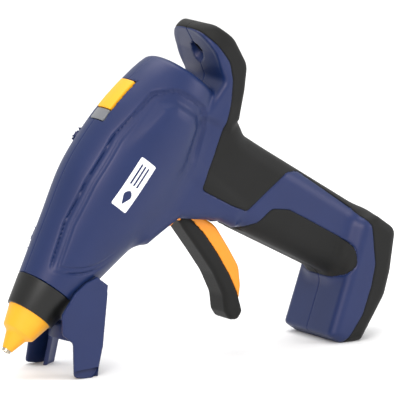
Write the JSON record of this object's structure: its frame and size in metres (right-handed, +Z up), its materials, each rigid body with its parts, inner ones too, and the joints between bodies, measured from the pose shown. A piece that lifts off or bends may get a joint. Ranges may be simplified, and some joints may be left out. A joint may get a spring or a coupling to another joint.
{
  "type": "cordless hot glue gun",
  "caption": "Cordless hot glue gun standing nose down on its fold-out stand and base, with trigger, stick feed, power button and charging socket.",
  "frame": {"origin": "bottom centre of the whole gun's box, on the surface it stands on", "axes": "+Z up; -X the way the nozzle points, pitched 51.2 degrees down; +Y the gun's right side, seen from behind with the nozzle ahead"},
  "size_m": [0.2242, 0.0492, 0.1716],
  "materials": {
    "blue_shell": "fine satin",
    "black_skin": "matte soft touch",
    "yellow_silicone": "matte",
    "amber_plastic": "satin",
    "black_plastic": "satin",
    "nozzle_metal": "plated",
    "cast_metal": "turned",
    "steel": "bright",
    "grey_lens": "translucent",
    "board_green": "lacquered",
    "cell_wrap": "shrink film",
    "white_plastic": "moulded",
    "ceramic": "fired",
    "heat_resin": "glass filled"
  },
  "bodies": {
    "housing": {"housing_left": "blue_shell", "housing_right": "blue_shell", "guard_left": "blue_shell", "guard_right": "blue_shell", "spine_grip_left": "black_skin", "spine_grip_right": "black_skin", "palm_grip_left": "black_skin", "palm_grip_right": "black_skin", "nose_collar": "black_plastic", "nozzle_cover": "yellow_silicone", "nozzle_tip": "nozzle_metal", "check_ball": "steel", "check_spring": "steel", "heating_chamber": "cast_metal", "ptc_heater": "ceramic", "heater_clamp": "steel", "front_heat_ring": "heat_resin", "rear_heat_ring": "heat_resin", "heat_sensor": "ceramic", "inlet_sleeve": "yellow_silicone", "stick_guide": "black_plastic", "trigger_pin": "steel", "stand_pin": "steel", "return_spring": "steel", "indicator_lens": "grey_lens", "button_board": "board_green", "tact_switch": "black_plastic", "status_led": "white_plastic", "control_board": "board_green", "battery_cell_left": "cell_wrap", "battery_cell_right": "cell_wrap", "cell_link": "steel", "cell_tabs": "steel", "charging_socket": "steel", "housing_screws": "steel"},
    "trigger": {"trigger": "amber_plastic", "trigger_grip": "black_skin", "drive_pin": "steel"},
    "feed_carriage": {"feed_carriage": "white_plastic", "jaw_pin": "steel"},
    "feed_jaw": {"feed_jaw": "steel"},
    "power_button": {"power_button": "amber_plastic"},
    "stand": {"stand": "blue_shell"}
  },
  "joints": [
    {"name": "trigger_pivot", "type": "hinge", "parent": "housing", "child": "trigger", "pos_m": [-0.02216, 0, 0.07568], "axis": [0, -1, 0], "range_deg": [0, 12], "stiffness_Nm_per_rad": 0.35, "springref_deg": -14.32},
    {"name": "feed_slide", "type": "slide", "parent": "housing", "child": "feed_carriage", "axis": [-0.6266, 0, -0.7793], "range_m": [0, 0.0039], "deforming": ["return_spring"]},
    {"name": "jaw_pivot", "type": "hinge", "parent": "feed_carriage", "child": "feed_jaw", "pos_m": [-0.0461, 0, 0.10575], "axis": [0, -1, 0], "range_deg": [0, 6.1]},
    {"name": "button_press", "type": "slide", "parent": "housing", "child": "power_button", "axis": [0.7793, 0, -0.6266], "range_m": [0, 0.0006], "stiffness_N_per_m": 1500, "springref_m": -0.0006},
    {"name": "stand_hinge", "type": "hinge", "parent": "housing", "child": "stand", "pos_m": [-0.07247, 0, 0.03785], "axis": [0, -1, 0], "range_deg": [0, 138]}
  ],
  "couplings": [
    {"joint": "feed_slide", "follows": "trigger_pivot", "m_per_rad": 0.0185},
    {"joint": "jaw_pivot", "follows": "trigger_pivot", "ratio": 0.5}
  ]
}
